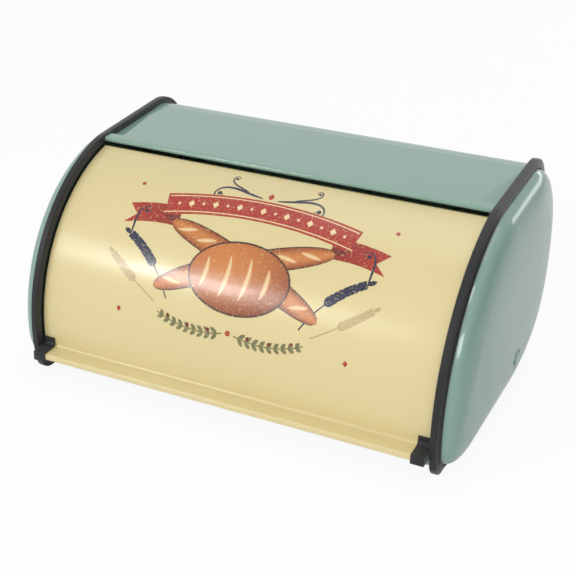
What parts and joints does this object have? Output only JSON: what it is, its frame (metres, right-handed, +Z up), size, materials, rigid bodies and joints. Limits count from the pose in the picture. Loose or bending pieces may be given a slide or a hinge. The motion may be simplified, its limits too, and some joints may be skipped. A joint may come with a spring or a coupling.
{
  "type": "roll-top bread box",
  "caption": "Sheet-steel bread box with domed end caps, black seam trims and a curved roll-top lid that turns up and back inside the body on side pivots.",
  "frame": {"origin": "middle of the box's width and depth, on the surface that its two rims stand on", "axes": "+Z up, +X to the right seen from the front, the lid faces -Y; X is the longest extent, Z the shortest"},
  "size_m": [0.3788, 0.2465, 0.1726],
  "materials": {
    "body_green": "gloss enamel, pale grey-green",
    "lid_cream": "gloss enamel, cream, printed on the front",
    "trim_black": "satin black",
    "plated_steel": "zinc plated",
    "bush_nylon": "natural nylon"
  },
  "bodies": {
    "body": {"body_shell": "body_green", "left_end_cap": "body_green", "right_end_cap": "body_green", "left_rim_trim": "trim_black", "right_rim_trim": "trim_black", "left_pivot_pin": "body_green", "right_pivot_pin": "body_green", "left_pivot_spacer": "plated_steel", "right_pivot_spacer": "plated_steel", "left_pivot_bush": "bush_nylon", "right_pivot_bush": "bush_nylon", "left_pivot_washer": "plated_steel", "right_pivot_washer": "plated_steel", "left_pivot_retainer": "plated_steel", "right_pivot_retainer": "plated_steel"},
    "lid": {"lid_panel": "lid_cream", "left_lid_arm": "lid_cream", "right_lid_arm": "lid_cream", "left_arm_rivets": "plated_steel", "right_arm_rivets": "plated_steel", "left_lid_clip": "trim_black", "right_lid_clip": "trim_black"}
  },
  "joints": [
    {"name": "lid_hinge", "type": "hinge", "parent": "body", "child": "lid", "pos_m": [0, 0.0231, 0.0333], "axis": [-1, 0, 0], "range_deg": [0, 54]}
  ]
}
